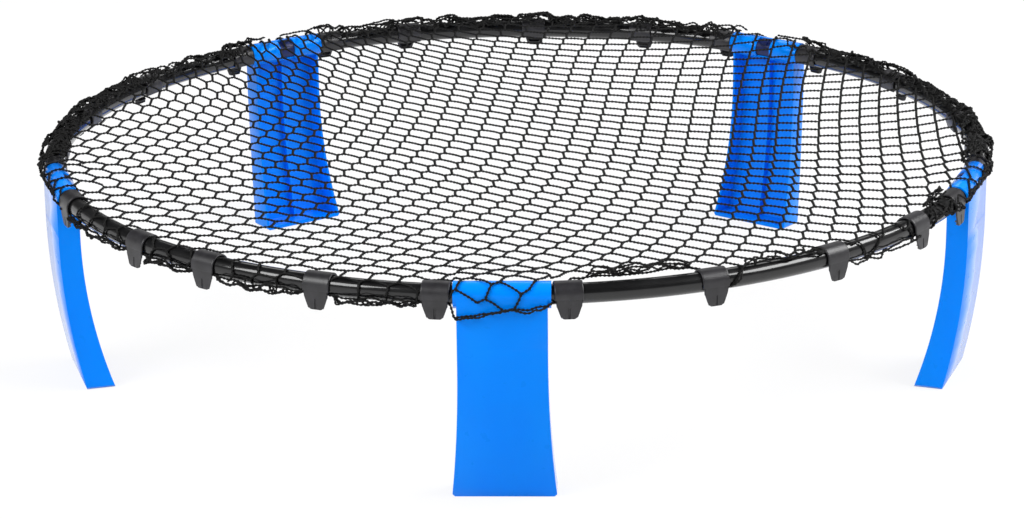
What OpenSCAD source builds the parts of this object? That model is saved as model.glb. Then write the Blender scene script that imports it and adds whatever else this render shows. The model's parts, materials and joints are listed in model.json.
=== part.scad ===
// Roundnet set: a net stretched inside a round steel ring that stands on five folding legs.
// The ring is level, its middle is over the origin, and the feet stand on the floor at Z = 0.
// Leg 1 points along -Y. Legs, tubes and clips are numbered counter-clockwise seen from above.
// Inside the modules of a leg, X runs outward from the ring's middle, Y along the ring, Z up.

/* [Ring] */
// Radius of the ring, to the middle of its tube
ring_r = 448; // [420:1:480]
// Height of the tube's middle above the floor
ring_h = 189; // [170:1:220]
// Outer radius of the tube
tube_r = 9; // [8:0.5:10]
// Wall of the tube
tube_wall = 1.2; // [0.8:0.1:2]

/* [Joiners] */
// Length of the collar that the leg turns on
collar_l = 30; // [24:1:40]
// How far a spigot reaches into its tube
spigot_l = 28; // [16:1:40]
// Play of a spigot in its tube, on the radius
spigot_play = 0.1; // [0.05:0.01:0.3]
// Width of the lug that stops the leg
lug_w = 8; // [6:1:14]

/* [Legs] */
// Length of the barrel at the top of a leg
barrel_w = 84; // [76:1:90]
// Wall of the barrel
barrel_wall = 1.7; // [1.4:0.1:2.4]
// Width of the leg under its barrel
leg_w = 78; // [70:1:82]
// Width of the foot
foot_w = 92; // [84:1:100]
// Height where the sides start to flare towards the foot
flare_h = 130; // [100:1:150]
// Depth of the leg at its top
leg_d = 20.5; // [19:0.5:23]
// Depth of the foot
foot_d = 27; // [24:0.5:32]
// How far the outer face curves inward from the top to the foot
foot_inset = 18.5; // [10:0.5:24]
// Height where the outer face starts to curve inward
curve_h = 152; // [130:1:160]
// Thickness of the leg's plate and side walls
leg_wall = 2.5; // [2:0.1:3.5]
// Thickness of the sole
sole_t = 3; // [2:0.5:5]
// Thickness of the rib behind the leg's plate
rib_t = 2; // [1.5:0.1:3]
// How far the rib stands off the plate
rib_d = 7; // [4:0.5:9]
// Bevel at the corners of the foot
foot_bevel = 2.5; // [1:0.5:4]

/* [Hinges] */
// How far a leg folds inward
fold_angle = 75; // [60:1:80]
// Where the barrel's window starts, up from the outer side
window_from = 100; // [95:1:105]
// How far the window goes round the barrel
window_span = 125; // [110:1:130]
// Width of the window
window_w = 18; // [16:1:22]
// Running clearance between barrel and collar, on the radius
hinge_play = 0.08; // [0.04:0.01:0.1]
// Angle that is left between the lug and the window's ends
stop_play = 1; // [0.5:0.1:2]

/* [Net clips] */
// Width of a clip over the tube
clip_w = 25; // [20:1:28]
// Wall of a clip
clip_wall = 2; // [1.5:0.1:2.5]
// Play of a clip on the tube, on the radius
clip_play = 0.4; // [0.2:0.05:0.5]
// Where the clip's lip ends on the inner side, up from the outer side
clip_reach = 215; // [200:1:230]
// How far the part over the tube comes down the outer side, below the tube's middle
skirt_l = 3; // [2:0.5:5]
// Width of the tail
tail_w = 22; // [18:1:24]
// Wall of the tail
tail_wall = 1.4; // [1.2:0.1:1.8]
// How far the tail hangs below the tube's middle
tail_l = 20; // [16:1:26]
// Width of the tail's tip
tip_w = 14; // [10:1:16]
// Bevel at the corners of the tip
tip_bevel = 1; // [0.5:0.1:2]
// How far the hook at the tip reaches inward
hook_l = 3.5; // [2:0.5:6]
// Height of the hook
hook_h = 4; // [2.5:0.5:6]
// Width of the groove down the tail
groove_w = 2; // [1:0.5:3]
// Depth of that groove
groove_d = 0.7; // [0.4:0.1:1]
// Height above the tip where the tail starts to narrow
taper_h = 11; // [8:1:13]

/* [Net] */
// Thickness of the net's cord
cord_t = 2; // [1.5:0.1:3]
// Height of the net's underside above the tube's middle
net_rise = 7; // [6:0.5:8]
// Spacing of the knots in a row, along X
cell_w = 46; // [46:1:70]
// How far a row drops from one knot to the next
row_drop = 16; // [0:1:20]
// Spacing of the rows, along Y
cell_h = 45; // [45:1:70]
// How far each row lies to the right of the one before it
row_lean = 4; // [0:1:10]
// Length of a knot, which joins its four cords two and two
knot_l = 14; // [6:1:18]
// Angle of the knots
knot_a = 48; // [30:1:60]
// Width of the net's border
border_w = 5; // [3:0.5:8]
// Thickness of the margin that is drawn over the ring
margin_t = 1.6; // [1:0.1:2.5]
// How far the margin hangs below the tube's middle, outside the tubes
hem_l = 4; // [3:0.5:8]
// How far it hangs below the tube's middle, outside the barrels
barrel_hem_l = 13; // [8:0.5:18]
// Spacing of the margin's cells along the ring
margin_cell = 44; // [36:1:60]
// Width of the margin's cords
margin_cord = 2.2; // [1.5:0.1:4]
// Clearance that is left around the margin
soft_gap = 0.3; // [0.2:0.05:0.6]

/* [Hidden] */
LEGS = 5;
CLIPS = 5;
// Degrees from a tube's first leg to its middle clips, as they were slid by hand: one row for each
// tube. Its first and last clip sit against the barrels.
CLIP_AT = [
  [23.6, 39.7, 54.6],
  [15, 28, 48],
  [19.5, 35, 53],
  [25, 41, 57],
  [25.4, 36.6, 51.4],
];
MARGIN_ROWS = 2;

// Number of facets: small rounds, rounds about the ring's middle, and the leg's long curves
$fn = 48;
ring_fn = 240;
long_fn = 720;
// Overlap that makes a cut pass right through
cut = 1;

leg_step = 360/LEGS;
seat_gap = 0.1;

// A curved tube runs through the straight barrel. The barrel's axis lies midway between the
// tube's nearest and farthest point in it, and its bore is just wide enough for both.
tube_far = sqrt(pow(ring_r, 2) - pow(collar_l/2, 2));
tube_near = sqrt(pow(ring_r, 2) - pow(barrel_w/2, 2));
pivot_r = (tube_far + tube_near)/2;
bore_r = tube_r + (tube_far - tube_near)/2 + soft_gap;
barrel_r = bore_r + barrel_wall;
collar_r = bore_r - hinge_play;
spigot_r = tube_r - tube_wall - spigot_play;
// Angles about the ring's middle where the tubes start and the spigots end
tube_a = asin((collar_l/2 + seat_gap)/(ring_r - tube_r));
spigot_a = asin((collar_l/2 + spigot_l)/ring_r);
// The lug meets the window's ends at the leg's two stops
lug_from = window_from + stop_play;
lug_to = window_from + window_span - fold_angle - stop_play;

leg_out = pivot_r + barrel_r;
leg_in = leg_out - leg_d;
foot_in = leg_out - foot_inset - foot_d;

clip_in_r = tube_r + clip_play;
clip_out_r = clip_in_r + clip_wall;
clip_bead_r = clip_wall/2 + clip_play/2;
clip_half_a = asin((clip_w/2 + soft_gap)/(ring_r - clip_out_r));
// Angle from a leg to the clip beside it, whose inner corner just clears the end of the barrel
clip_side_a = atan(clip_w/2/(ring_r - clip_out_r))
  + asin((barrel_w/2 + soft_gap)/norm([ring_r - clip_out_r, clip_w/2]));

// The bed's edge stays clear of the barrels and of the clips
bed_r = min(
  pivot_r - sqrt(pow(barrel_r + soft_gap, 2) - pow(net_rise, 2)),
  ring_r - sqrt(pow(clip_out_r + soft_gap, 2) - pow(net_rise, 2))
);
opening_r = bed_r - border_w;

// Radius of an arc that leaves a line sideways by run over a length of rise
function arc_r(rise, run) = (pow(rise, 2) + pow(run, 2))/(2*run);
function leg_a(k) = 270 + leg_step*(k - 1);
function clips_after(k) = concat(clip_side_a, CLIP_AT[k - 1], leg_step - clip_side_a);
function clip_a(n) = let (k = ceil(n/CLIPS)) leg_a(k) + clips_after(k)[(n - 1) % CLIPS];

function unit(v) = v/norm(v);
function left_of(v) = [-v.y, v.x];

// A convex outline, drawn counter-clockwise, with every side moved in by d
function drawn_in(shape, d) = [
  for (i = [0:len(shape) - 1])
    let (
      before = left_of(unit(shape[i] - shape[(i + len(shape) - 1) % len(shape)])),
      after = left_of(unit(shape[(i + 1) % len(shape)] - shape[i]))
    ) shape[i] + d*(before + after)/(1 + before*after)
];

module at_angle(a) rotate([0, 0, a]) children();

// Stands a drawing of a cross-section upright and gives it a width along the ring
module across(w) rotate([90, 0, 0]) linear_extrude(w, center = true) children();

// Stands a drawing of a front view upright, from the ring's middle out to d
module outward(d) rotate([90, 0, 90]) linear_extrude(d) children();

// Turns a cross-section about the ring's middle from angle a0 to a1
module along_ring(a0, a1) at_angle(a0) rotate_extrude(angle = a1 - a0, $fn = ring_fn) children();

// Part of a ring's cross-section between two radii and two angles
module sector(r0, r1, a0, a1) {
  steps = ceil((a1 - a0)/45);
  reach = 2*r1;
  intersection() {
    difference() {
      circle(r = r1);
      circle(r = r0);
    }
    polygon(concat([[0, 0]], [
      for (i = [0:steps]) let (a = a0 + (a1 - a0)*i/steps) reach*[cos(a), sin(a)]
    ]));
  }
}

// One steel tube, a fifth of the ring, from the collar of one joiner to the next
module rim_tube(k) {
  color([0.06, 0.06, 0.07])
    translate([0, 0, ring_h])
      along_ring(leg_a(k) + tube_a, leg_a(k + 1) - tube_a)
        translate([ring_r, 0])
          difference() {
            circle(r = tube_r);
            circle(r = tube_r - tube_wall);
          }
}

// Core of a hinge: a collar in the leg's barrel, a spigot for each tube and the stop lug
module joiner(k) {
  color([0.15, 0.15, 0.16])
    at_angle(leg_a(k))
      translate([0, 0, ring_h])
        union() {
          translate([pivot_r, 0, 0]) {
            across(collar_l) circle(r = collar_r);
            across(lug_w) sector(collar_r - cut, barrel_r - hinge_play, lug_from, lug_to);
          }
          along_ring(-spigot_a, spigot_a)
            translate([ring_r, 0]) circle(r = spigot_r);
        }
}

// Side view of a leg before its open side is cut, with its outer face moved in by inset
module leg_side(inset) {
  outer_r = arc_r(curve_h, foot_inset);
  intersection() {
    translate([foot_in - cut, 0])
      square([leg_out - inset - foot_in + cut, ring_h]);
    union() {
      translate([leg_out - outer_r, curve_h]) circle(r = outer_r - inset, $fn = long_fn);
      translate([foot_in - cut, curve_h]) square([leg_d + foot_d + foot_inset, ring_h - curve_h]);
    }
  }
}

// What the curved inner edges of the side walls leave out of that view
module leg_side_open() {
  inner_r = arc_r(curve_h, leg_in - foot_in);
  translate([leg_in - inner_r, curve_h]) circle(r = inner_r, $fn = long_fn);
  translate([foot_in - 2*cut, curve_h]) square([leg_in - foot_in + 2*cut, ring_h - curve_h + cut]);
}

// Front view of a leg with its sides moved in by inset
module leg_front(inset) {
  flare_r = arc_r(flare_h, (foot_w - leg_w)/2);
  difference() {
    translate([-foot_w/2, 0]) square([foot_w, ring_h]);
    for (side = [0, 1])
      mirror([side, 0]) {
        translate([leg_w/2 + flare_r, flare_h]) circle(r = flare_r + inset, $fn = long_fn);
        translate([leg_w/2 - inset, flare_h]) square([foot_w, ring_h]);
        translate([foot_w/2 - inset, 0]) rotate(45) square(foot_bevel*sqrt(2), center = true);
      }
  }
}

// The moulded channel: a curved plate with two side walls, a sole and a rib down its middle
module leg_channel() {
  difference() {
    intersection() {
      across(foot_w) difference() {
        leg_side(0);
        leg_side_open();
      }
      outward(leg_out + cut) leg_front(0);
    }
    intersection() {
      across(foot_w) leg_side(leg_wall);
      outward(leg_out + cut) leg_front(leg_wall);
      translate([foot_in - 2*cut, -foot_w/2, sole_t]) cube([foot_d + foot_inset + leg_d, foot_w, ring_h]);
    }
  }
  across(rib_t) difference() {
    leg_side(leg_wall/2);
    leg_side(leg_wall + rib_d);
  }
}

// A leg: the channel hangs from a barrel that turns on the joiner's collar
module leg(k) {
  color([0, 0.4, 0.95])
    at_angle(leg_a(k))
      difference() {
        union() {
          leg_channel();
          translate([pivot_r, 0, ring_h]) across(barrel_w) circle(r = barrel_r);
        }
        translate([pivot_r, 0, ring_h]) {
          across(barrel_w + 2*cut) circle(r = bore_r);
          across(window_w)
            sector(bore_r - cut, barrel_r + cut, window_from, window_from + window_span);
        }
      }
}

// Cross-section of a clip: a C over the tube with a beaded lip, a thinner tail down its outer side
// and a hook at the tail's tip
module clip_section() {
  sector(clip_in_r, clip_out_r, 0, clip_reach);
  rotate(clip_reach) translate([clip_in_r + clip_wall/2, 0]) circle(r = clip_bead_r);
  translate([clip_in_r, -skirt_l]) square([clip_wall, skirt_l]);
  translate([clip_in_r, -tail_l]) square([tail_wall, tail_l]);
  translate([clip_in_r - hook_l, -tail_l]) square([tail_wall + hook_l, clip_wall]);
  translate([clip_in_r - hook_l, -tail_l]) square([clip_wall/2, hook_h]);
}

// Front view of a clip: wide over the tube, with a tail that narrows towards its tip
module clip_front() {
  top = clip_out_r + cut;
  polygon([
    [-clip_w/2, top], [-clip_w/2, -skirt_l],
    [-tail_w/2, -skirt_l], [-tail_w/2, taper_h - tail_l],
    [-tip_w/2, tip_bevel - tail_l], [tip_bevel - tip_w/2, -tail_l],
    [tip_w/2 - tip_bevel, -tail_l], [tip_w/2, tip_bevel - tail_l],
    [tail_w/2, taper_h - tail_l], [tail_w/2, -skirt_l],
    [clip_w/2, -skirt_l], [clip_w/2, top],
  ]);
}

// A net clip: grips the tube and holds the net's edge
module clip(n) {
  color([0.22, 0.22, 0.23])
    at_angle(clip_a(n))
      translate([0, 0, ring_h])
        difference() {
          intersection() {
            translate([ring_r, 0, 0]) across(clip_w + 2*cut) clip_section();
            outward(ring_r + clip_out_r + cut) clip_front();
          }
          translate([ring_r + clip_in_r + tail_wall - groove_d, -groove_w/2, -tail_l - cut])
            cube([clip_wall + cut, groove_w, taper_h + cut]);
        }
}

// The bed of the net: rows of knots on a slanting grid. Each knot is a short run of cord between
// its four cords, so every opening has six sides.
module net() {
  step = [cell_w, -row_drop];
  row = [row_lean, cell_h];
  knot = knot_l/2*[cos(knot_a), sin(knot_a)];
  opening = drawn_in(
    [knot, step - knot, step + knot, step + row - knot, row + knot, row - knot], cord_t/2
  );
  count = ceil(bed_r/(cell_h - row_drop));
  color([0.08, 0.08, 0.09])
    translate([0, 0, ring_h + net_rise])
      linear_extrude(cord_t)
        difference() {
          circle(r = bed_r, $fn = ring_fn);
          intersection() {
            circle(r = opening_r, $fn = ring_fn);
            for (i = [-count:count], j = [-count:count])
              let (corner = step*i + row*j)
                if (norm(corner + (step + row)/2) < opening_r + cell_h/4)
                  translate(corner) polygon(opening);
          }
        }
}

// Cross-section of the margin over a round of radius r: it starts inner mm inside the round's
// middle, goes over the round, and its hem hangs down the outer side
module margin_section(r, inner, hem) {
  r0 = r + soft_gap;
  sector(r0, r0 + margin_t, 0, 180 - asin(net_rise/r0));
  translate([-inner, net_rise]) square([inner - sqrt(pow(r0, 2) - pow(net_rise, 2)), cord_t]);
  translate([r0, -hem]) square([margin_t, hem]);
}

// Cross-section of one row of the margin's openings, over the round
module margin_opening(r, row) {
  step = (180 - asin((net_rise + cord_t)/(r + soft_gap + margin_t)))/MARGIN_ROWS;
  edge = margin_cord/r*90/PI;
  sector(r, r + soft_gap + margin_t + cut, step*row + edge, step*(row + 1) - edge);
}

// Margin over a tube, from angle a0 to a1 about the ring's middle
module tube_margin(a0, a1) {
  count = max(1, round((a1 - a0)*PI/180*ring_r/margin_cell));
  step = (a1 - a0)/count;
  edge = margin_cord/ring_r*90/PI;
  difference() {
    along_ring(a0, a1) translate([ring_r, 0]) margin_section(tube_r, ring_r - bed_r - soft_gap, hem_l);
    for (row = [0:MARGIN_ROWS - 1], i = [0:count - 1 - row % 2])
      along_ring(a0 + step*(i + row % 2/2) + edge, a0 + step*(i + 1 + row % 2/2) - edge)
        translate([ring_r, 0]) margin_opening(tube_r, row);
  }
}

// Margin over the barrel of a leg
module barrel_margin() {
  count = max(1, round(barrel_w/margin_cell));
  step = barrel_w/count;
  difference() {
    translate([pivot_r, 0, 0])
      across(barrel_w) margin_section(barrel_r, pivot_r - bed_r + border_w, barrel_hem_l);
    translate([0, 0, net_rise - cut]) cylinder(r = bed_r + soft_gap, h = cord_t + 2*cut, $fn = ring_fn);
    for (row = [0:MARGIN_ROWS - 1], i = [0:count - 1 - row % 2])
      translate([pivot_r, step*(i + (1 + row % 2)/2) - barrel_w/2, 0])
        across(step - margin_cord) margin_opening(barrel_r, row);
    for (i = [0:count - 1])
      translate([pivot_r + barrel_r, step*(i + 1/2) - barrel_w/2, 0])
        across(step - margin_cord)
          translate([0, margin_cord - barrel_hem_l])
            square([soft_gap + margin_t + cut, barrel_hem_l - 2*margin_cord]);
  }
}

// The gathered edge of the net, drawn over the ring between the clips and over the barrels
module net_margin() {
  color([0.05, 0.05, 0.06])
    translate([0, 0, ring_h]) {
      for (k = [1:LEGS], i = [0:CLIPS - 2])
        let (at = clips_after(k))
          tube_margin(leg_a(k) + at[i] + clip_half_a, leg_a(k) + at[i + 1] - clip_half_a);
      for (k = [1:LEGS]) at_angle(leg_a(k)) barrel_margin();
    }
}

for (k = [1:LEGS]) {
  rim_tube(k);
  joiner(k);
  leg(k);
}
for (n = [1:LEGS*CLIPS]) {
  clip(n);
}
net();
net_margin();
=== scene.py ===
"""A roundnet set: a cord net drawn over a steel ring that stands on five folding legs.

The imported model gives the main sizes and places. Sizes written here are in metres, apart from the
clips' and the net's, which are in mm.
"""

import json
import math

import bmesh
import bpy
import numpy as np
from mathutils import Matrix, Vector, noise


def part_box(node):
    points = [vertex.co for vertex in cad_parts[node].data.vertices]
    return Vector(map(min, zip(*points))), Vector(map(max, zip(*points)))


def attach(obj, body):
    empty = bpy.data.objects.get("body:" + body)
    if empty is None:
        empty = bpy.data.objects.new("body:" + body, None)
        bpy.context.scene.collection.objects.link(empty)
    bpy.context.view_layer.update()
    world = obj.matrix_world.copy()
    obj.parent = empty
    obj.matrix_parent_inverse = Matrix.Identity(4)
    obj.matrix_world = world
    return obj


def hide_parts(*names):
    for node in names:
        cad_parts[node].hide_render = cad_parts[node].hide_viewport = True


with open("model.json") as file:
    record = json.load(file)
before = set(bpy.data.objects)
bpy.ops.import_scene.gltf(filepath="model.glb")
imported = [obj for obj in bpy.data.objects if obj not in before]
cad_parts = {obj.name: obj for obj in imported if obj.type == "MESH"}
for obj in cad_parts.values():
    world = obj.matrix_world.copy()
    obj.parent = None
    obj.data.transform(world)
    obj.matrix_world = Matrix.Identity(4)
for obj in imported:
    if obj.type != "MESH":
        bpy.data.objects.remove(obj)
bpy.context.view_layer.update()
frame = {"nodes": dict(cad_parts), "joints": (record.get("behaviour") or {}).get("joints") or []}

MM = 0.001

# ---------------------------------------------------------------- sizes from the frame


def corners(node):
    """The vertices of a CAD node, as rows of x, y, z."""
    mesh = frame["nodes"][node].data
    places = np.empty(len(mesh.vertices) * 3)
    mesh.vertices.foreach_get("co", places)
    return places.reshape(-1, 3)


def azimuth_of(node):
    """Angle of the middle of a CAD node about the ring's axis, in radians."""
    middle = corners(node).mean(0)
    return math.atan2(middle[1], middle[0])


def radii_of(node):
    """Smallest and largest distance of a CAD node from the ring's axis."""
    reach = np.hypot(*corners(node)[:, :2].T)
    return reach.min(), reach.max()


LEGS = len(frame["joints"])
TUBE_IN, TUBE_OUT = radii_of("rim_tube_1")
RING_R = (TUBE_IN + TUBE_OUT) / 2
TUBE_R = (TUBE_OUT - TUBE_IN) / 2
RING_H = frame["joints"][0]["pos_m"][2]
PIVOT_R = math.hypot(*frame["joints"][0]["pos_m"][:2])
BARREL_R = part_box("leg_1")[1].z - RING_H
BARREL_W = 0.084
BED_Z = (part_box("net")[0].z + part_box("net")[1].z) / 2
LEG_AT = [math.atan2(j["pos_m"][1], j["pos_m"][0]) for j in frame["joints"]]
CLIPS = [f"clip_{k + 1}" for k in range(sum(n.startswith("clip_") for n in frame["nodes"]))]
CLIP_AT = np.array([azimuth_of(n) for n in CLIPS])

# ---------------------------------------------------------------- node trees


class Socket:
    """An output of a node. Arithmetic on it adds the Math nodes that work it out."""

    def __init__(self, graph, socket):
        self.graph = graph
        self.socket = socket

    def maths(self, operation, a, b=0.0):
        return self.graph.node("ShaderNodeMath", {"operation": operation}, {0: a, 1: b})

    def __add__(self, other):
        return self.maths("ADD", self, other)

    def __radd__(self, other):
        return self.maths("ADD", other, self)

    def __sub__(self, other):
        return self.maths("SUBTRACT", self, other)

    def __rsub__(self, other):
        return self.maths("SUBTRACT", other, self)

    def __mul__(self, other):
        return self.maths("MULTIPLY", self, other)

    def __rmul__(self, other):
        return self.maths("MULTIPLY", other, self)

    def __truediv__(self, other):
        return self.maths("DIVIDE", self, other)

    def __rtruediv__(self, other):
        return self.maths("DIVIDE", other, self)


class Graph:
    """A node tree, and the one method that adds a node to it."""

    def __init__(self, tree):
        self.tree = tree

    def node(self, kind, settings=None, links=None, out=0):
        made = self.tree.nodes.new(kind)
        for key, value in (settings or {}).items():
            if key == "stops":
                self.set_stops(made.color_ramp, value)
            else:
                setattr(made, key, value)
        for key, value in (links or {}).items():
            if isinstance(value, Socket):
                self.tree.links.new(value.socket, made.inputs[key])
            else:
                made.inputs[key].default_value = value
        return Socket(self, made.outputs[out])

    @staticmethod
    def set_stops(ramp, stops):
        while len(ramp.elements) < len(stops):
            ramp.elements.new(1.0)
        for element, (place, colour) in zip(ramp.elements, stops):
            element.position = place
            element.color = colour

    def more(self, socket, out):
        """Another output of the node that socket comes from."""
        return Socket(self, socket.socket.node.outputs[out])


class Finish(Graph):
    """A material on one Principled shader."""

    def __init__(self, name, **uniform):
        self.material = bpy.data.materials.new(name)
        self.material.use_nodes = True
        super().__init__(self.material.node_tree)
        self.shader = self.tree.nodes["Principled BSDF"]
        for key, value in uniform.items():
            title = key.replace("_", " ").title().replace("Ior", "IOR")
            self.shader.inputs[title].default_value = value

    def drive(self, **varying):
        """Feeds what changes over the surface into the shader."""
        for key, value in varying.items():
            self.tree.links.new(value.socket, self.shader.inputs[key.replace("_", " ").title()])

    def place(self):
        """Where on the piece, in its own metres."""
        return self.node("ShaderNodeTexCoord", out="Object")

    def noise(self, size, detail=2.0, stretch=None):
        """Noise from 0 to 1 whose lumps are about size across."""
        where = self.place()
        if stretch:
            where = self.node("ShaderNodeMapping", None, {"Vector": where, "Scale": stretch})
        return self.node(
            "ShaderNodeTexNoise", None, {"Vector": where, "Scale": 1 / size, "Detail": detail}, "Fac"
        )

    def ramp(self, value, *stops):
        return self.node("ShaderNodeValToRGB", {"stops": stops}, {"Fac": value})

    def bump(self, height, depth, strength=1.0):
        return self.node(
            "ShaderNodeBump", None, {"Height": height, "Distance": depth, "Strength": strength}
        )


def grey(level):
    return (level, level, level, 1.0)


# ---------------------------------------------------------------- materials


def blue_moulding():
    """Bright blue moulded plastic: glossy, with the faint ripple and flow of a moulding."""
    made = Finish(
        "blue_moulding", specular_ior_level=0.5, specular_tint=(0.02, 0.35, 1.0, 1),
        coat_weight=1.0, coat_ior=1.16, coat_roughness=0.12,
    )
    flow = made.noise(0.045, 3.0, (1.0, 1.0, 0.35))
    made.drive(
        base_color=made.ramp(flow, (0.3, (0.0, 0.225, 1.0, 1)), (0.7, (0.0, 0.25, 1.0, 1))),
        roughness=0.24 + 0.1 * made.noise(0.012, 3.0),
        normal=made.bump(made.noise(0.004, 2.0), 0.00004),
    )
    return made.material


def ring_paint():
    """Glossy black powder coat with a fine orange peel and a few rubbed streaks along the tube."""
    made = Finish("ring_paint", specular_ior_level=0.15, coat_weight=1.0, coat_roughness=0.1)
    rub = made.noise(0.02, 4.0)
    made.drive(
        base_color=made.ramp(rub, (0.45, (0.003, 0.003, 0.0035, 1)), (0.75, (0.008, 0.008, 0.009, 1))),
        roughness=0.35 + 0.2 * rub,
        normal=made.bump(made.noise(0.0015, 1.0), 0.00001),
    )
    return made.material


def charcoal_moulding():
    """Charcoal moulded plastic with a satin, lightly sparked skin."""
    made = Finish("charcoal_moulding", specular_ior_level=0.6)
    skin = made.noise(0.0009, 2.0)
    made.drive(
        base_color=made.ramp(
            made.noise(0.009, 3.0), (0.3, (0.011, 0.0105, 0.0125, 1)), (0.7, (0.024, 0.023, 0.027, 1))
        ),
        roughness=0.32 + 0.16 * skin,
        normal=made.bump(skin, 0.00003),
    )
    return made.material


def black_core():
    """The hinge's core: navy moulded plastic, coloured nearly black all over as painted shade, for the
    shade deep in the barrel where it sits.
    """
    made = Finish("black_core", specular_ior_level=0.4)
    # Painted shade: the near-black navy stands for the shade of the barrel's recess around the core.
    made.drive(
        base_color=made.ramp(
            made.noise(0.006), (0.3, (0.002, 0.008, 0.07, 1)), (0.7, (0.003, 0.014, 0.11, 1))
        ),
        roughness=0.35 + 0.15 * made.noise(0.002),
        normal=made.bump(made.noise(0.001), 0.00003),
    )
    return made.material


def nylon_cord():
    """Black twisted nylon: dull, with paler worn fibres and a fine filament grain."""
    made = Finish("nylon_cord", specular_ior_level=0.25)
    fibre = made.noise(0.0006, 3.0)
    wear = made.noise(0.02, 2.0)
    made.drive(
        base_color=made.ramp(fibre * 0.6 + wear * 0.4, (0.35, grey(0.0025)), (0.65, grey(0.011))),
        roughness=0.5 + 0.25 * fibre,
        normal=made.bump(fibre, 0.00012),
    )
    return made.material


# ---------------------------------------------------------------- finished pieces


def link(name, mesh):
    piece = bpy.data.objects.new(name, mesh)
    bpy.context.scene.collection.objects.link(piece)
    return piece


def plain(piece):
    """The piece with its modifiers made part of a plain mesh."""
    bpy.context.view_layer.update()
    mesh = bpy.data.meshes.new_from_object(piece.evaluated_get(bpy.context.evaluated_depsgraph_get()))
    piece.modifiers.clear()
    piece.data = mesh
    mesh.name = piece.name
    return piece


def hand_over(piece, body, material, *nodes):
    """Gives a finished piece its material and its body, and hides the CAD nodes that it stands for."""
    if not piece.data.materials:
        piece.data.materials.append(material)
    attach(piece, body)
    if nodes:
        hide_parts(*nodes)
    return piece


def mesh_of(name, points, faces):
    mesh = bpy.data.meshes.new(name)
    mesh.from_pydata([tuple(p) for p in points], [], faces)
    mesh.validate()
    mesh.shade_smooth()
    return mesh


def rounded(piece, width, segments, limit=35):
    """Rounds the sharp edges of a piece, as a mould leaves them."""
    bevel = piece.modifiers.new("rounding", "BEVEL")
    bevel.width = width
    bevel.segments = segments
    bevel.limit_method = "ANGLE"
    bevel.angle_limit = math.radians(limit)
    bevel.harden_normals = True
    bevel.use_clamp_overlap = True
    return piece


# ---------------------------------------------------------------- geometry trees


class Maker(Graph):
    """A Geometry Nodes tree with named inputs, run once on a mesh."""

    KINDS = {float: "NodeSocketFloat", bpy.types.Material: "NodeSocketMaterial"}

    def __init__(self, name, **inputs):
        super().__init__(bpy.data.node_groups.new(name, "GeometryNodeTree"))
        self.sides = self.tree.interface
        self.sides.new_socket("Geometry", in_out="INPUT", socket_type="NodeSocketGeometry")
        self.keys = {}
        for label, value in inputs.items():
            kind = next(k for t, k in self.KINDS.items() if isinstance(value, t))
            made = self.sides.new_socket(label.replace("_", " "), in_out="INPUT", socket_type=kind)
            self.keys[label] = made.identifier
        self.sides.new_socket("Geometry", in_out="OUTPUT", socket_type="NodeSocketGeometry")
        self.given = self.tree.nodes.new("NodeGroupInput")
        self.defaults = inputs

    def input(self, label="Geometry"):
        return Socket(self, self.given.outputs[label.replace("_", " ")])

    def finish(self, geometry, material):
        """Ends the tree: real faces, smooth, in their material."""
        real = self.node("GeometryNodeRealizeInstances", None, {"Geometry": geometry})
        smooth = self.node("GeometryNodeSetShadeSmooth", None, {"Geometry": real})
        done = self.node("GeometryNodeSetMaterial", None, {"Geometry": smooth, "Material": material})
        out = self.tree.nodes.new("NodeGroupOutput")
        self.tree.links.new(done.socket, out.inputs[0])

    def run(self, name, mesh, **values):
        """The plain piece that the tree makes of a mesh."""
        piece = link(name, mesh)
        modifier = piece.modifiers.new("make", "NODES")
        modifier.node_group = self.tree
        for label, value in {**self.defaults, **values}.items():
            modifier[self.keys[label]] = value
        return plain(piece)


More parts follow.
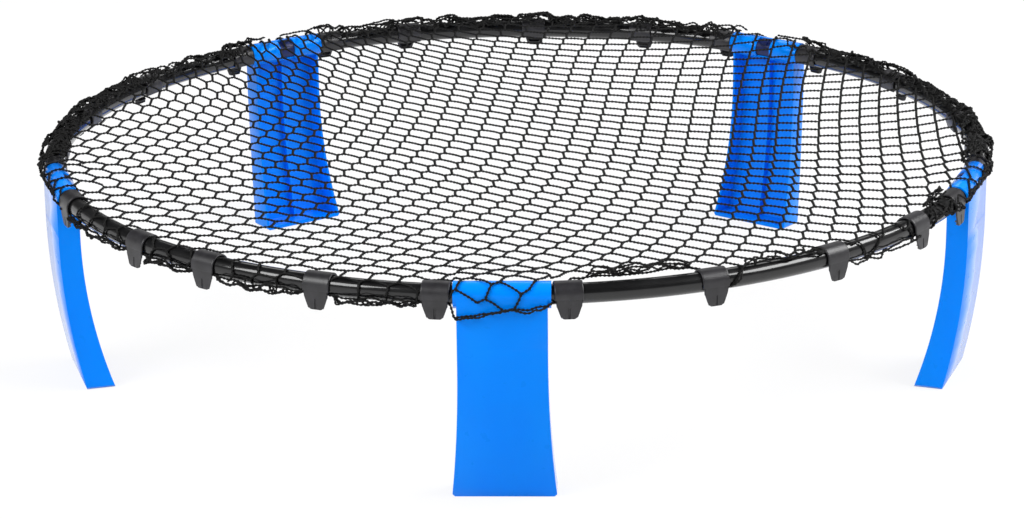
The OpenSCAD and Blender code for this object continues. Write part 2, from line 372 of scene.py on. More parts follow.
def cord_maker(material):
    """Turns the edges of a mesh into twisted cords of two plies."""
    plies, points_a_ply = 2, 3
    tree = Maker(
        "twisted_cord",
        Lay_length=7.6 * MM,
        Ply_depth=0.4,
        Ring_spacing=0.95 * MM,
        Crinkle=0.8 * MM,
        Crinkle_size=9.0 * MM,
        Seed=1.0,
        Material=material,
    )
    lines = tree.node("GeometryNodeMeshToCurve", None, {"Mesh": tree.input()})
    smooth = tree.node("GeometryNodeCurveSplineType", {"spline_type": "CATMULL_ROM"}, {"Curve": lines})
    even = tree.node(
        "GeometryNodeResampleCurve", {"mode": "LENGTH"},
        {"Curve": smooth, "Length": tree.input("Ring_spacing")},
    )
    where = tree.node("GeometryNodeInputPosition")
    wave = tree.node(
        "ShaderNodeTexNoise", {"noise_dimensions": "4D"},
        {
            "Vector": where,
            "W": tree.input("Seed"),
            "Scale": 1 / tree.input("Crinkle_size"),
            "Detail": 1.0,
        },
        "Color",
    )
    middle = tree.node("ShaderNodeVectorMath", {"operation": "SUBTRACT"}, {0: wave, 1: (0.5, 0.5, 0.5)})
    shift = tree.node(
        "ShaderNodeVectorMath", {"operation": "SCALE"}, {0: middle, "Scale": 2 * tree.input("Crinkle")}
    )
    crinkled = tree.node("GeometryNodeSetPosition", None, {"Geometry": even, "Offset": shift})
    along = tree.node("GeometryNodeSplineParameter", out="Length")
    turned = tree.node(
        "GeometryNodeSetCurveTilt", None,
        {"Curve": crinkled, "Tilt": along * 2 * math.pi / tree.input("Lay_length")},
    )
    thickness = tree.node(
        "GeometryNodeInputNamedAttribute", {"data_type": "FLOAT"}, {"Name": "cord_radius"}
    )
    ring = tree.node(
        "GeometryNodeCurvePrimitiveCircle", {"mode": "RADIUS"},
        {"Resolution": plies * points_a_ply, "Radius": 1.0},
    )
    valley = tree.node(
        "ShaderNodeMath", {"operation": "MODULO"}, {0: tree.node("GeometryNodeInputIndex"), 1: points_a_ply}
    )
    hollow = tree.node("ShaderNodeMath", {"operation": "MINIMUM"}, {0: valley, 1: 1.0})
    lobed = tree.node(
        "GeometryNodeSetPosition", None,
        {
            "Geometry": ring,
            "Position": tree.node(
                "ShaderNodeVectorMath", {"operation": "SCALE"},
                {0: where, "Scale": 1 - hollow * tree.input("Ply_depth")},
            ),
        },
    )
    cord = tree.node(
        "GeometryNodeCurveToMesh", None,
        {"Curve": turned, "Profile Curve": lobed, "Scale": thickness, "Fill Caps": True},
    )
    tree.finish(cord, tree.input("Material"))
    return tree


def tube_maker(material):
    """Bends a round tube about the ring's axis."""
    tree = Maker(
        "ring_tube", Ring_radius=RING_R, Tube_radius=TUBE_R, Ring_height=RING_H,
        Start_angle=0.0, Sweep_angle=1.0, Material=material,
    )
    arc = tree.node(
        "GeometryNodeCurveArc", {"mode": "RADIUS"},
        {
            "Resolution": 97,
            "Radius": tree.input("Ring_radius"),
            "Start Angle": tree.input("Start_angle"),
            "Sweep Angle": tree.input("Sweep_angle"),
        },
    )
    section = tree.node(
        "GeometryNodeCurvePrimitiveCircle", {"mode": "RADIUS"},
        {"Resolution": 40, "Radius": tree.input("Tube_radius")},
    )
    bent = tree.node(
        "GeometryNodeCurveToMesh", None, {"Curve": arc, "Profile Curve": section, "Fill Caps": True}
    )
    up = tree.node("ShaderNodeCombineXYZ", None, {"Z": tree.input("Ring_height")})
    raised = tree.node("GeometryNodeSetPosition", None, {"Geometry": bent, "Offset": up})
    tree.finish(raised, tree.input("Material"))
    return tree


# ---------------------------------------------------------------- rigid pieces


def rim_tubes(material):
    """The ring's five curved tubes."""
    tree = tube_maker(material)
    for k in range(1, LEGS + 1):
        node = f"rim_tube_{k}"
        places = corners(node)
        middle = azimuth_of(node)
        spread = np.angle(np.exp(1j * (np.arctan2(places[:, 1], places[:, 0]) - middle)))
        empty = bpy.data.meshes.new(node)
        piece = tree.run(
            f"ring_tube_{k}", empty,
            Start_angle=middle + float(spread.min()), Sweep_angle=float(spread.max() - spread.min()),
        )
        hand_over(piece, "ring", material, node)


def joiners(material):
    """The hinges' cores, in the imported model's own form."""
    for k in range(1, LEGS + 1):
        piece = frame["nodes"][f"joiner_{k}"]
        piece.data.materials.clear()
        piece.data.materials.append(material)


CROWN = math.radians(13)  # how far a leg's outer skin turns away at its sides
SIDEWAYS = 0.02  # the most that a face of the outer skin looks sideways
OUTWARD = 0.3  # the least that it looks outward
SKIN_TOP = RING_H - 0.3 * BARREL_R  # where the outer skin ends under the barrel


def crowned(piece, azimuth):
    """Shades a leg's flat outer skin as the slightly crowned face that it is."""
    mesh = piece.data
    outward = Vector((math.cos(azimuth), math.sin(azimuth), 0))
    across = Vector((-outward.y, outward.x, 0))
    normals = [Vector(n.vector) for n in mesh.corner_normals]
    for face in mesh.polygons:
        if abs(face.normal.dot(across)) > SIDEWAYS or face.normal.dot(outward) < OUTWARD:
            continue
        if face.center.z > SKIN_TOP:
            continue
        for corner in face.loop_indices:
            side = mesh.vertices[mesh.loops[corner].vertex_index].co.dot(across) / (BARREL_W / 2)
            normals[corner] = (normals[corner] + math.tan(CROWN) * side * across).normalized()
    mesh.normals_split_custom_set(normals)
    return piece


MOULD_ROUND = 0.7 * MM  # rounding of the legs' edges


def legs(material):
    """Each leg keeps its moulded form and gets the rounded edges of a moulding."""
    for k in range(1, LEGS + 1):
        node = f"leg_{k}"
        mesh = frame["nodes"][node].data.copy()
        mesh.materials.clear()
        work = bmesh.new()
        work.from_mesh(mesh)
        bmesh.ops.remove_doubles(work, verts=work.verts, dist=1e-6)
        bmesh.ops.dissolve_limit(
            work, angle_limit=math.radians(0.5), verts=work.verts, edges=work.edges, delimit={"NORMAL"}
        )
        work.to_mesh(mesh)
        work.free()
        mesh.shade_smooth()
        piece = rounded(link(f"leg_moulding_{k}", mesh), MOULD_ROUND, 3)
        hand_over(crowned(plain(piece), LEG_AT[k - 1]), f"leg_{k}", material, node)


# A net clip, in mm. It hooks over the tube from the outer side, and its tail hangs below.
CLIP_HALF_W, TAIL_HALF_W, TIP_HALF_W = 12.5, 11.0, 7.0
CLIP_IN, CLIP_OUT, TAIL_OUT = 9.4, 11.4, 10.8  # from the tube's middle
CLIP_LIP = math.radians(215)  # how far the hook goes round the tube
SKIRT, TAIL, TAPER = 3.2, 20.0, 11.0  # below the tube's middle, and the height of the taper
CORNER_R = 3.0  # corners of the tail's tip
BEAD_R = 1.35  # the bead along the hook's lip
GROOVE_HALF_W, GROOVE = 0.9, 0.7  # the groove down the tail: half its width, and its depth
# The barbed hook inside the tail: how far it reaches in, and its height over the tip
BARB = ((0, 5.6), (0.9, 4.9), (3.5, 4.1), (3.3, 3.5), (1.3, 2.2), (2.6, 1.5), (2.4, 0.8), (0.3, 0.1))
CLIP_TILT = 4  # degrees that a clip is turned on the tube at most


def clip_stations():
    """Places across a clip's width where its section is drawn, with how far each is drawn in."""
    rounded_end = [(CLIP_HALF_W, 0.9), (CLIP_HALF_W - 0.12, 0.5), (CLIP_HALF_W - 0.45, 0.12)]
    full = [
        CLIP_HALF_W - 1.0, TAIL_HALF_W, TAIL_HALF_W - 0.4, 9.8, 8.6,
        TIP_HALF_W + 0.6, TIP_HALF_W, TIP_HALF_W - 0.25, TIP_HALF_W - 0.8,
        5.2, 4.2, 3.0, 1.5, 1.0, 0.7, 0.0,
    ]
    right = rounded_end + [(y, 0) for y in full]
    return [(-y, inset) for y, inset in right] + right[-2::-1]


def clip_section(y, inset):
    """Outline of a clip cut across the tube: outward and up from the tube's middle, in mm."""
    y = abs(y)
    inner, outer = CLIP_IN + inset, CLIP_OUT - inset
    taper = TAPER * max(0.0, (y - TIP_HALF_W) / (TAIL_HALF_W - TIP_HALF_W)) ** 1.1
    bend = max(0.0, y - (TIP_HALF_W - CORNER_R))
    if bend < CORNER_R:
        taper = max(taper, CORNER_R - math.sqrt(CORNER_R**2 - bend**2))
    else:
        taper += 1.0
    drop = SKIRT + 0.3 if y > TAIL_HALF_W + 0.1 else TAIL - min(taper, TAPER)
    edge = 0.5 if TAIL_HALF_W - 0.1 < y <= TAIL_HALF_W + 0.1 else 0.0
    face = min(TAIL_OUT - edge, outer)
    tail = drop - SKIRT
    barb = max(0.0, min(1.0, (TIP_HALF_W - 0.5 - y) / 1.5)) if y > 5 else 1.0

    def arc(radius, start, end, count):
        turns = np.linspace(start, end, count)
        return [(radius * math.cos(a), radius * math.sin(a)) for a in turns]

    saddle = arc(outer, 0, CLIP_LIP - 0.12, 26)
    out = np.array([math.cos(CLIP_LIP), math.sin(CLIP_LIP)])
    along = np.array([-out[1], out[0]])
    bead_r = BEAD_R - 0.5 * inset
    bead = [
        tuple(out * (CLIP_IN + BEAD_R + bead_r * math.cos(a)) + along * bead_r * math.sin(a))
        for a in np.radians([-35, 10, 50, 90, 130, 165])
    ]
    inside = arc(inner, CLIP_LIP, 0, 22)
    back = [(inner, -drop * f) for f in (0.2, 0.4, 0.6)]
    room = min(1.0, tail / 6)
    hook = [(inner - reach * barb, -drop + rise * room) for reach, rise in BARB]
    foot = [(inner + 0.4, -drop), (face - 0.4, -drop)]
    groove = GROOVE if y < GROOVE_HALF_W else 0.0
    rise = [0.4, 0.35 * tail, 0.55 * tail, 0.58 * tail]
    lower = [(face - (groove if k < 3 else 0), -drop + min(h, tail)) for k, h in enumerate(rise)]
    crease = [(face, -SKIRT - 0.25), (face, -SKIRT), (outer - 0.15, -SKIRT + 0.15), (outer, -SKIRT + 0.6)]
    return saddle + bead + inside + back + hook + foot + lower + crease + [(outer, -1.2)]


def clips(material):
    """The net clips. Each sits on the tube at its own small tilt, as a hand has left it."""
    chance = np.random.default_rng(11)
    stations = clip_stations()
    rings = [clip_section(y, inset) for y, inset in stations]
    count = len(rings[0])
    faces = [
        (s * count + i, s * count + (i + 1) % count, (s + 1) * count + (i + 1) % count, (s + 1) * count + i)
        for s in range(len(rings) - 1)
        for i in range(count)
    ]
    faces.append(tuple(range(count - 1, -1, -1)))
    faces.append(tuple((len(rings) - 1) * count + i for i in range(count)))
    points = np.array([(n, y, z) for (y, _), ring in zip(stations, rings) for n, z in ring]) * MM
    for node, at in zip(CLIPS, CLIP_AT):
        mesh = mesh_of(node, points, faces)
        work = bmesh.new()
        work.from_mesh(mesh)
        bmesh.ops.recalc_face_normals(work, faces=work.faces)
        work.to_mesh(mesh)
        work.free()
        tilt = math.radians(chance.uniform(-CLIP_TILT, CLIP_TILT))
        mesh.transform(
            Matrix.Rotation(at, 4, "Z")
            @ Matrix.Translation((RING_R, 0, RING_H))
            @ Matrix.Rotation(tilt, 4, "Y")
        )
        piece = link(f"net_{node}", mesh)
        mesh.set_sharp_from_angle(angle=math.radians(50))
        hand_over(piece, "ring", material, node)


# ---------------------------------------------------------------- the net

# Steps in mm from knot to knot of the net, which creeps where hands have pulled it. COLUMN_STEP goes
# up the middle column, at the front, the middle and the back. ROW_STEP goes along the rows, with a
# line each for the front, the middle and the back, and in it the left, the middle and the right.
FIRST_KNOT = (9.0, 12.8)
COLUMN_STEP = ((10.8, 17.4), (2.3, 21.8), (3.6, 22.9))
ROW_STEP = (
    ((25.2, -9.1), (24.6, -7.8), (25.3, -10.1)),
    ((17.7, -10.6), (22.4, -7.7), (19.0, 9.2)),
    ((19.3, -51.8), (23.9, -1.4), (21.0, -0.1)),
)
# Knots from the middle to the places of the end values, and to where the steps stop changing
ROWS_END, ROWS_LAST = 16, 18
COLUMNS_END, COLUMNS_LAST = 18, 20
KNOTS_OUT = 34  # knots from the middle to the edge of the grid
CORD_R = 1.28  # mm
TIED_R = 1.42  # mm, where two cords run twisted together
RISE_W = 60.0  # mm over which the bed rises to the tube
SAG = 2.5  # mm that the middle of the bed lies lower
ROUND_R = 448.0  # mm from the ring's axis, where an angle round it is taken as a length
CRUMPLE, CRUMPLE_SIZE = 2.2, 13  # mm, how far the loose edge is crumpled, and its lumps' size
EDGE_FROM = 436  # mm from the ring's axis, past which a cord bends over the tube
GATHERED = 250  # cords that run along the tube where the net is bunched

# Angles about the ring's axis. Half the width of a barrel, of a clip's hold on the net and of a clip
BARREL_HALF = math.asin(BARREL_W / 2 / PIVOT_R)
CLIP_HALF = math.radians(1.9)
GRIP_HALF = math.asin(CLIP_HALF_W * MM / RING_R)

# Stretches of the ring, in degrees, where the net's edge lies in its own way
NEAT = (208, 320)  # drawn over the tube once. The rest is bunched, and folded to and fro
LOW = (226, 264)  # the edge hangs in lower loops
BARE = (278, 292)  # the edge stops short of the tube
LAID = (297, 309)  # the edge lies along the top of the tube

chance = np.random.default_rng(5)
noise.seed_set(5)


def smooth_step(x):
    """0 to 1 with soft ends, as x goes from 0 to 1."""
    x = np.clip(x, 0, 1)
    return x * x * (3 - 2 * x)


def turn_between(a, b):
    """Angle from b to a, from -pi to pi."""
    return np.angle(np.exp(1j * (a - b)))


def near(theta, centres, half, blend):
    """1 within half of any of the centres, falling to 0 over blend. All in radians."""
    away = np.min([np.abs(turn_between(theta, c)) for c in np.atleast_1d(centres)], axis=0)
    return smooth_step((half + blend - away) / blend)


def stretch_of(theta, start, end, blend=2.0):
    """1 on the stretch of ring from start to end, in degrees, falling to 0 over blend."""
    return near(
        theta, math.radians((start + end) / 2), math.radians((end - start) / 2), math.radians(blend)
    )


def wander(theta, turns, phase):
    """A value from -1 to 1 that wanders round the ring, with about that many waves."""
    parts = [(1.0, 0.45), (1.7, 0.3), (2.9, 0.25)]
    return sum(
        share * np.sin(round(turns * f) * theta + phase * (k + 1.3)) for k, (f, share) in enumerate(parts)
    )


def through_three(values, place, end, last):
    """Steps that change smoothly through three, given at -end, 0 and end, and stay the same past last."""
    t = np.clip(place, -last, last) / end
    weights = np.array([t * (t - 1) / 2, 1 - t * t, t * (t + 1) / 2])
    return np.tensordot(weights.T, np.array(values), 1)


def walk(ahead, back):
    """Places reached by steps from the middle, both ways."""
    return np.concatenate([-np.cumsum(back, 0)[::-1], np.zeros_like(ahead[:1]), np.cumsum(ahead, 0)])


def knot_grid():
    """Where the knots lie on the flat net, in mm, by row and column."""
    halves = np.arange(KNOTS_OUT) + 0.5
    column = walk(*(through_three(COLUMN_STEP, side * halves, ROWS_END, ROWS_LAST) for side in (1, -1)))
    rows = through_three(ROW_STEP, np.arange(-KNOTS_OUT, KNOTS_OUT + 1), ROWS_END, ROWS_LAST)
    along = [
        walk(*(through_three(row, side * halves, COLUMNS_END, COLUMNS_LAST) for side in (1, -1)))
        for row in rows
    ]
    return np.array(FIRST_KNOT) + column[:, None] + np.array(along)


def short_side(flat):
    """The short side of the cell that lies at each knot, in mm, to the right and up the net."""
    x, y = flat.T
    left = smooth_step((-x - 120) / 180)
    front = smooth_step((20 - y) / 160)
    across = 3.4 - 0.009 * np.clip(x, 0, 400) + 2.4 * left + front * (3.6 + 0.008 * np.clip(-x, -50, 200))
    up = 3.7 - 1.5 * np.clip(x * y / 50000, -1, 1) * front + 2.2 * left * (1 - front)
    return np.array([across, up]).T


class Rim:
    """The way that the net takes over the ring at each angle, in mm."""

    def __init__(self, theta):
        leg_turn = np.min([np.abs(turn_between(theta, at)) for at in LEG_AT], axis=0)
        barrel = smooth_step((BARREL_HALF + math.radians(0.3) - leg_turn) / math.radians(0.3))
        clip = near(theta, CLIP_AT, CLIP_HALF, math.radians(1.2))
        gripped = near(theta, CLIP_AT, GRIP_HALF, math.radians(0.35))
        bare = stretch_of(theta, *BARE)
        laid = stretch_of(theta, *LAID)
        low = stretch_of(theta, *LOW, 6)
        bunched = 1 - stretch_of(theta, *NEAT, 9)
        flat_end = PIVOT_R / MM / np.cos(np.minimum(leg_turn, BARREL_HALF))
        self.barrel = barrel
        self.laid = laid
        self.leg_turn = leg_turn
        # The round that the net is drawn over: its middle, and the radius that the cords lie on
        self.middle_r = RING_R / MM + (flat_end - RING_R / MM) * barrel
        tube, core = TUBE_R / MM + CORD_R + 0.1, BARREL_R / MM + CORD_R + 0.2
        self.wrap_r = tube + (core - tube) * barrel
        self.wrap_r = self.wrap_r + (CLIP_IN + 0.2 - self.wrap_r) * gripped
        # How far over it the net goes, as an angle and as a length
        over = 112 + 12 * wander(theta, 23, 0.4) - bunched * (18 - 14 * wander(theta, 19, 2.6))
        over = np.radians(over * (1 - clip) + 120 * clip)
        over = over + (np.radians(90) - over) * barrel
        self.over = over
        self.turn_up = (
            self.wrap_r * over * (1 - bare) * (1 - laid)
            + laid * (3 + 5 * wander(theta, 33, 0.7))
            - bare * (12 + 3 * wander(theta, 31, 2.0))
        )
        # What hangs straight down from there, and how far out the flat net ends
        aslant = np.sin(theta - LEG_AT[0]) * PIVOT_R / (BARREL_W / 2)
        self.hang = barrel * (1 - bunched) * (9 - 6 * np.clip(aslant, -1, 1) + 2 * wander(theta, 41, 0.2))
        loose = 9 + 5 * wander(theta, 29, 1.1) + low * (12 + 7 * wander(theta, 31, 0.5))
        loose = loose + bunched * (30 + 14 * wander(theta, 17, 0.3))
        loose = loose * (1 - 0.8 * barrel) + 5 * bare + 6 * laid
        self.bunched = bunched
        self.over_clip = clip * bunched
        self.reach = (
            self.turn_up + self.hang + 7 * barrel * (1 - bunched)
            + loose * (1 - clip * (1 - bunched)) + 2 * clip
        )
        # The curl, crumple and bunching of the loose edge
        self.curl_r = 2.8 + 0.9 * wander(theta, 37, 0.9) + 1.2 * bare + 0.8 * low
        self.rough = (1.4 + 0.6 * low - 0.9 * bare) * (1 - 0.9 * clip * (1 - bunched)) * (1 - 0.6 * barrel)
        self.gather = (1.0 + 4.5 * bunched) * (1 - 0.7 * barrel)

    def section(self, flat_r):
        """Distance from the ring's axis, height and loose length, for a distance out along the net."""
        s = flat_r - self.middle_r
        top = RING_H / MM + self.wrap_r
        bed = top + (BED_Z / MM - top) * smooth_step(-s / RISE_W)
        carried = np.minimum(s, self.turn_up)
        angle = np.maximum(carried, 0) / self.wrap_r
        r = self.middle_r + np.where(carried > 0, self.wrap_r * np.sin(angle), carried)
        z = np.where(carried > 0, RING_H / MM + self.wrap_r * np.cos(angle), bed)
        loose = np.maximum(s - self.turn_up, 0)
        straight = np.minimum(loose, self.hang)
        turned = (loose - straight) / self.curl_r - angle
        r = r + straight * np.cos(angle) + self.curl_r * (np.sin(turned) + np.sin(angle))
        z = z - straight * np.sin(angle) - self.curl_r * (np.cos(turned) - np.cos(angle))
        # Where there is much of it, the rest lies folded to and fro over the tube
        span = self.over + math.radians(58)
        folds = loose / (self.wrap_r + 2) / span
        back = self.over - span * (1 - np.abs(1 - np.mod(folds, 2)))
        lie_r = (
            self.wrap_r + 1.9 * smooth_step(folds * 4) + 1.3 * folds
            + 3.4 * self.over_clip * smooth_step(loose / 4)
        )
        folded = self.bunched * (loose > 0)
        r = r + (self.middle_r + lie_r * np.sin(back) - r) * folded
        z = z + (RING_H / MM + lie_r * np.cos(back) - z) * folded
        return r, z, loose

    def kept_out(self, r, z):
        """Moves places that are inside the ring's tubes, barrels or legs to their skin."""
        out, up = r - self.middle_r, z - RING_H / MM
        push = np.maximum(self.wrap_r / np.hypot(out, up), 1)
        r, z = self.middle_r + out * push, RING_H / MM + up * push
        face = ((PIVOT_R + BARREL_R) / MM + CORD_R + 0.3) / np.cos(self.leg_turn)
        on_leg = (self.barrel > 0.3) & (z < RING_H / MM)
        return np.where(on_leg, np.maximum(r, face), r), z


def bunching(flat_r, theta):
    """Where the loose edge is pushed out and drawn in, from -1 to 1, in lumps of 11 by 15 mm."""
    return np.array(
        [noise.noise(Vector((out / 11, turn * ROUND_R / 15, 7.7))) for out, turn in zip(flat_r, theta)]
    )


def drape(flat):
    """Draws flat places of the net over the ring. Takes and gives mm."""
    flat_r = np.hypot(*flat.T)
    theta = np.arctan2(flat[:, 1], flat[:, 0])
    rim = Rim(theta)
    past = smooth_step((flat_r - rim.middle_r - rim.turn_up) / 8)
    push = bunching(flat_r, theta) * rim.gather * past
    r, z, loose = rim.section(flat_r + push)
    slack = smooth_step((430 - flat_r) / 60)
    z = z - SAG * smooth_step(1.6 - flat_r / 260) * slack
    z = z + 0.9 * slack * wander(flat[:, 0] / 95 + flat[:, 1] / 140, 1, 0.2)
    places = np.c_[flat_r, theta * ROUND_R, loose * 0.5]
    crumple = np.array([noise.noise_vector(Vector(p) / CRUMPLE_SIZE) for p in places])
    crumple = crumple * smooth_step(loose / 8)[:, None]
    r = r + CRUMPLE * rim.rough * crumple[:, 0]
    z = z + CRUMPLE * rim.rough * crumple[:, 1]
    theta = theta + rim.gather * crumple[:, 2] / ROUND_R
    r, z = rim.kept_out(r, z)
    return np.c_[r * np.cos(theta), r * np.sin(theta), z]


def bowed(start, end, count, slack):
    """Points from start to end on the flat net, bowed sideways by slack."""
    t = np.linspace(0, 1, count)[:, None]
    across = np.array([start[1] - end[1], end[0] - start[0]])
    across = across / max(np.hypot(*across), 1e-6)
    return start + (end - start) * t + across * slack * 4 * t * (1 - t)


def net_cords():
    """Every cord and knot of the net as its points, drawn over the ring, and its radius."""
    grid = knot_grid()
    size = grid.shape[1]
    flat = grid.reshape(-1, 2)
    rim = Rim(np.arctan2(flat[:, 1], flat[:, 0]))
    distance = np.hypot(*flat.T)
    held = distance < rim.middle_r + rim.reach
    numbers = np.arange(len(flat)).reshape(size, size)
    rows = np.stack([numbers[:, :-1], numbers[:, 1:]], -1).reshape(-1, 2)
    columns = np.stack([numbers[:-1], numbers[1:]], -1).reshape(-1, 2)
    pairs = np.concatenate([rows, columns])
    tied = np.arange(len(pairs)) >= len(rows)
    kept = held[pairs].all(1)
    ends = np.bincount(pairs[kept].ravel(), minlength=len(flat))
    while (ends[pairs[kept]] < 2).any():
        kept &= (ends[pairs] > 1).all(1)
        ends = np.bincount(pairs[kept].ravel(), minlength=len(flat))
    lean = short_side(flat) / 2
    cords = []
    for (a, b), is_tied in zip(pairs[kept], tied[kept]):
        count = 6 if max(distance[a], distance[b]) < EDGE_FROM else 14
        slack = chance.uniform(-0.4, 0.4) if is_tied else chance.uniform(0.2, 1.6)
        run = bowed(flat[a] + lean[a], flat[b] - lean[b], count, slack)
        cords.append((drape(run), TIED_R if is_tied else CORD_R))
    for k in np.flatnonzero(ends):
        cords.append((drape(bowed(flat[k] - lean[k], flat[k] + lean[k], 4, 0.2)), CORD_R))
    return cords


# The runs of the draw cord: mm past where the net is turned up, waves round the ring, and their size.
# The last two run only where the edge is neat.
HEM_RUNS = ((2.0, 61, 1.5), (6.0, 83, 3.5), (9.0, 47, 3.0), (12.0, 97, 4.0))


def hem_cords():
    """The draw cord that runs from clip to clip through the net's edge, and its loose loops."""
    cords = []
    marks = np.sort(np.mod(CLIP_AT, 2 * math.pi))
    for start, end in zip(marks, np.r_[marks[1:], marks[0] + 2 * math.pi]):
        theta = np.linspace(start, end, int((end - start) * RING_R / MM / 4))
        rim = Rim(theta)
        clip = near(theta, CLIP_AT, CLIP_HALF, math.radians(1.2))
        crowded = rim.bunched.max() > 0.3 or rim.barrel.max() > 0.5 or rim.laid.max() > 0.5
        for offset, waves, size in HEM_RUNS[:2] if crowded else HEM_RUNS:
            s = rim.turn_up + rim.hang + (offset + size * wander(theta, waves, offset)) * (1 - 0.9 * clip)
            flat = (rim.middle_r + s) * np.array([np.cos(theta), np.sin(theta)])
            cords.append((drape(flat.T), CORD_R))
    return cords


def gathered_cords():
    """Cords of the net's edge that run along the tube where it is gathered, some in raised loops."""
    cords = []
    while len(cords) < GATHERED:
        start = chance.uniform(0, 2 * math.pi)
        length = chance.uniform(30, 75)
        theta = start + np.linspace(0, length, int(length / 3)) / ROUND_R
        rim = Rim(theta)
        if rim.bunched.min() < 0.7 or rim.barrel.mean() > chance.uniform(0.1, 0.8):
            continue
        t = np.linspace(0, 1, len(theta))
        loose = chance.uniform(2, 40) + chance.uniform(-18, 18) * t
        loose = np.abs(loose + 4 * wander(theta, 71, start))
        flat = (rim.middle_r + rim.turn_up + loose) * np.array([np.cos(theta), np.sin(theta)])
        points = drape(flat.T)
        rise = max(0.0, chance.uniform(-5, 3.6)) * np.sin(math.pi * t) * (1 - rim.barrel)
        points[:, 2] += rise * (points[:, 2] > RING_H / MM + 4)
        cords.append((points, CORD_R))
    return cords


def cord_lines(name, cords):
    """A mesh of edges, one open run for each cord, with its radius on its points."""
    points, edges, radii = [], [], []
    for places, radius in cords:
        first = len(points)
        points += [tuple(p) for p in places * MM]
        edges += [(first + k, first + k + 1) for k in range(len(places) - 1)]
        radii += [radius * MM] * len(places)
    mesh = bpy.data.meshes.new(name)
    mesh.from_pydata(points, edges, [])
    mesh.attributes.new("cord_radius", "FLOAT", "POINT").data.foreach_set("value", radii)
    return mesh


def net(material):
    """The net, in five sectors of bed and five of margin, each a piece of its own."""
    maker = cord_maker(material)
    inner, outer = {}, {}
    edge = RING_R / MM - 16
    whole = 2 * math.pi
    for points, radius in net_cords() + hem_cords() + gathered_cords():
        middle = points[len(points) // 2]
        turn = np.mod(math.atan2(middle[1], middle[0]) - LEG_AT[0], whole)
        sector = int(turn / (whole / LEGS))
        group = inner if math.hypot(*middle[:2]) < edge and middle[2] < BED_Z / MM + 2 else outer
        group.setdefault(min(sector, LEGS - 1), []).append((points, radius))
    for title, groups, crinkle, node in (
        ("net_bed", inner, 0.25 * MM, "net"), ("net_margin", outer, 0.7 * MM, "net_margin")
    ):
        for sector, runs in sorted(groups.items()):
            name = f"{title}_{sector + 1}"
            piece = maker.run(name, cord_lines(name, runs), Crinkle=crinkle, Seed=float(sector))
            hand_over(piece, "ring", material, *([node] if sector == 0 else []))


# ---------------------------------------------------------------- the room


def camera():
    """A long lens, a little above the ring and a little to its right."""
    at = Vector((0.0922, -3.1238, 1.1212))
    pan, tilt, roll = math.radians(-1.786), math.radians(-18.589), math.radians(-0.637)
    ahead = Vector(
        (math.sin(pan) * math.cos(tilt), math.cos(pan) * math.cos(tilt), math.sin(tilt))
    )
    level = Vector((math.cos(pan), -math.sin(pan), 0))
    up = level.cross(ahead)
    across = level * math.cos(roll) + up * math.sin(roll)
    up = up * math.cos(roll) - level * math.sin(roll)
    lens = bpy.data.cameras.new("camera")
    lens.sensor_width = 36.0
    lens.lens = 116.9
    lens.clip_end = 50
    holder = bpy.data.objects.new("camera", lens)
    holder.matrix_world = Matrix.Translation(at) @ Matrix((across, up, -ahead)).transposed().to_4x4()
    bpy.context.scene.collection.objects.link(holder)
    bpy.context.scene.camera = holder


def soft_box(name, at, width, depth, power):
    """A soft lamp that faces the ring's middle."""
    lamp = bpy.data.lights.new(name, "AREA")
    lamp.shape = "RECTANGLE"
    lamp.size, lamp.size_y = width, depth
    lamp.energy = power
    holder = bpy.data.objects.new(name, lamp)
    aim = Vector((0, 0, RING_H)) - Vector(at)
    holder.matrix_world = Matrix.Translation(at) @ aim.to_track_quat("-Z", "Y").to_matrix().to_4x4()
    bpy.context.scene.collection.objects.link(holder)


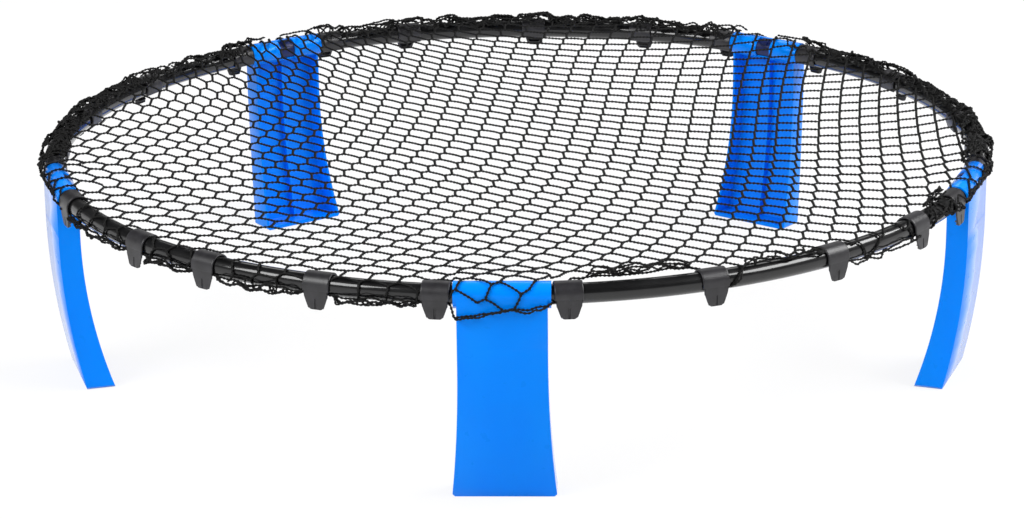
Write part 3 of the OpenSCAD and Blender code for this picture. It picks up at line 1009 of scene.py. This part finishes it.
def seen_mask(graph):
    """1 for what the eye, a gloss or a clear surface sees, and 0 for light that falls on things."""
    path = graph.node("ShaderNodeLightPath", out="Is Camera Ray")
    total = path + graph.more(path, "Is Glossy Ray") + graph.more(path, "Is Transmission Ray")
    return graph.node("ShaderNodeMath", {"operation": "MINIMUM"}, {0: total, 1: 1.0})


def room():
    """A pale floor and plain soft light."""
    world = bpy.data.worlds.new("room")
    bpy.context.scene.world = world
    world.use_nodes = True
    sky = Graph(world.node_tree)
    back = sky.tree.nodes["Background"]
    height = sky.more(
        sky.node("ShaderNodeSeparateXYZ", None, {0: sky.node("ShaderNodeTexCoord", out="Generated")}), "Z"
    )
    dome = sky.node(
        "ShaderNodeValToRGB",
        {"stops": ((0.54, grey(1.0)), (0.62, grey(0.12)), (0.8, grey(0.03)))},
        {"Fac": height * 0.5 + 0.5},
    )
    wall = sky.node(
        "ShaderNodeMix", {"data_type": "RGBA"}, {"Factor": seen_mask(sky), "A": grey(0.58), "B": dome},
        "Result",
    )
    sky.tree.links.new(wall.socket, back.inputs["Color"])
    soft_box("right", (1.95, -0.15, 1.9), 2.3, 0.8, 63)
    soft_box("left", (-2.1, -1.6, 2.2), 1.8, 1.2, 64)
    soft_box("behind", (0.0, 2.6, 2.4), 2.4, 1.0, 12)

    made = Finish("floor_paper", roughness=0.9, specular_ior_level=0.0)
    made.drive(base_color=made.ramp(made.noise(0.6), (0.3, grey(0.60)), (0.7, grey(0.62))))
    glow = made.node("ShaderNodeEmission", None, {"Color": grey(1.0), "Strength": 1.11})
    mixed = made.node(
        "ShaderNodeMixShader", None,
        {0: 0.75 * seen_mask(made), 1: Socket(made, made.shader.outputs[0]), 2: glow},
    )
    made.tree.links.new(mixed.socket, made.tree.nodes["Material Output"].inputs["Surface"])
    half = 30.0
    sheet = [(-half, -half, 0), (half, -half, 0), (half, half, 0), (-half, half, 0)]
    floor = link("floor", mesh_of("floor", sheet, [(0, 1, 2, 3)]))
    floor.data.materials.append(made.material)


# ---------------------------------------------------------------- the set

bpy.context.scene.view_settings.view_transform = "Standard"
camera()
room()
rim_tubes(ring_paint())
joiners(black_core())
legs(blue_moulding())
clips(charcoal_moulding())
net(nylon_cord())

bpy.context.view_layer.update()
